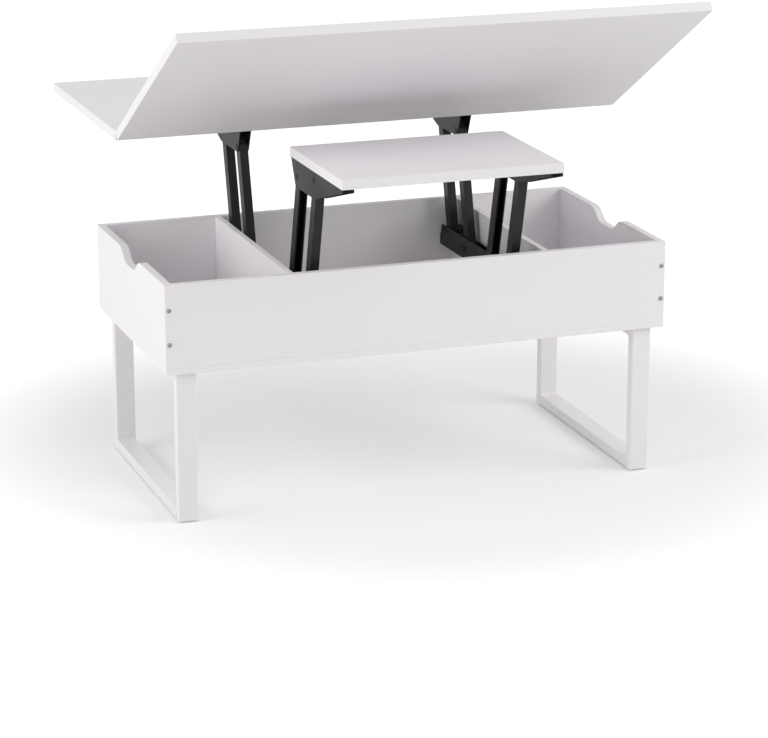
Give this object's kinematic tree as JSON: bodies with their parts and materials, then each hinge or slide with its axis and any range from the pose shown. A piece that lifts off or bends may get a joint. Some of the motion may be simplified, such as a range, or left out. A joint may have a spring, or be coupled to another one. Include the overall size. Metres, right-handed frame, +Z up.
{
  "type": "convertible coffee dining table",
  "caption": "Low box table on tube leg frames whose two-leaf folding top and small inner top rise on parallel lift arms to make a dining table.",
  "frame": {"origin": "on the floor, under the middle of the space that the raised table takes up", "axes": "+X along the table, +Y to the back, +Z up"},
  "size_m": [1, 0.9514, 0.9342],
  "materials": {
    "white_board": "white melamine with a faint grain, satin",
    "white_tube": "white powder coat, satin",
    "black_steel": "black powder coat, satin",
    "brass_hinge": "brass plated",
    "dark_plastic": "matt",
    "zinc_steel": "zinc plated"
  },
  "bodies": {
    "box": {"front_panel": "white_board", "back_panel": "white_board", "left_end_panel": "white_board", "right_end_panel": "white_board", "bottom_panel": "white_board", "left_divider": "white_board", "right_divider": "white_board", "panel_screws": "zinc_steel", "bottom_screws": "zinc_steel", "leg_bolts": "zinc_steel", "base_screws": "zinc_steel", "floor_glides": "dark_plastic", "left_front_leg": "white_tube", "left_rear_leg": "white_tube", "left_top_rail": "white_tube", "left_foot_rail": "white_tube", "right_front_leg": "white_tube", "right_rear_leg": "white_tube", "right_top_rail": "white_tube", "right_foot_rail": "white_tube", "left_lift_base": "black_steel", "right_lift_base": "black_steel", "base_pivot_pins": "zinc_steel", "arm_spacers": "dark_plastic", "stop_pins": "zinc_steel"},
    "main_rear_arms": {"left_main_rear_arm": "black_steel", "right_main_rear_arm": "black_steel"},
    "main_front_arms": {"left_main_front_arm": "black_steel", "right_main_front_arm": "black_steel"},
    "main_top": {"lower_leaf": "white_board", "left_main_bracket": "black_steel", "right_main_bracket": "black_steel", "main_bracket_pins": "zinc_steel", "main_bracket_screws": "zinc_steel", "lower_hinge_plates": "brass_hinge", "lower_hinge_screws": "brass_hinge", "hinge_pins": "brass_hinge"},
    "folding_leaf": {"upper_leaf": "white_board", "upper_hinge_plates": "brass_hinge", "upper_hinge_screws": "brass_hinge"},
    "inner_rear_arms": {"left_inner_rear_arm": "black_steel", "right_inner_rear_arm": "black_steel"},
    "inner_front_arms": {"left_inner_front_arm": "black_steel", "right_inner_front_arm": "black_steel"},
    "inner_lift_top": {"inner_top": "white_board", "left_inner_bracket": "black_steel", "right_inner_bracket": "black_steel", "inner_bracket_pins": "zinc_steel", "inner_bracket_screws": "zinc_steel"}
  },
  "joints": [
    {"name": "main_lift", "type": "hinge", "parent": "box", "child": "main_rear_arms", "pos_m": [0, 0.12074, 0.4], "axis": [1, 0, 0], "range_deg": [0, 99.17]},
    {"name": "main_front_swing", "type": "hinge", "parent": "box", "child": "main_front_arms", "pos_m": [0, 0.02174, 0.384], "axis": [1, 0, 0], "range_deg": [0, 99.17]},
    {"name": "main_top_level", "type": "hinge", "parent": "main_rear_arms", "child": "main_top", "pos_m": [0, 0.17918, 0.62762], "axis": [1, 0, 0], "range_deg": [-99.17, 0]},
    {"name": "leaf_fold", "type": "hinge", "parent": "main_top", "child": "folding_leaf", "pos_m": [0, -0.02455, 0.68082], "axis": [1, 0, 0], "range_deg": [-149.5, 30.5]},
    {"name": "inner_rear_swing", "type": "hinge", "parent": "box", "child": "inner_rear_arms", "pos_m": [0, -0.15526, 0.384], "axis": [1, 0, 0], "range_deg": [-99.17, 0]},
    {"name": "inner_front_swing", "type": "hinge", "parent": "box", "child": "inner_front_arms", "pos_m": [0, -0.25426, 0.4], "axis": [1, 0, 0], "range_deg": [-99.17, 0]},
    {"name": "inner_top_level", "type": "hinge", "parent": "inner_rear_arms", "child": "inner_lift_top", "pos_m": [0, -0.2137, 0.61162], "axis": [1, 0, 0], "range_deg": [0, 99.17]}
  ],
  "couplings": [
    {"joint": "main_front_swing", "follows": "main_lift", "ratio": 1},
    {"joint": "main_top_level", "follows": "main_lift", "ratio": -1},
    {"joint": "inner_rear_swing", "follows": "main_lift", "ratio": -1},
    {"joint": "inner_front_swing", "follows": "main_lift", "ratio": -1},
    {"joint": "inner_top_level", "follows": "main_lift", "ratio": 1}
  ]
}
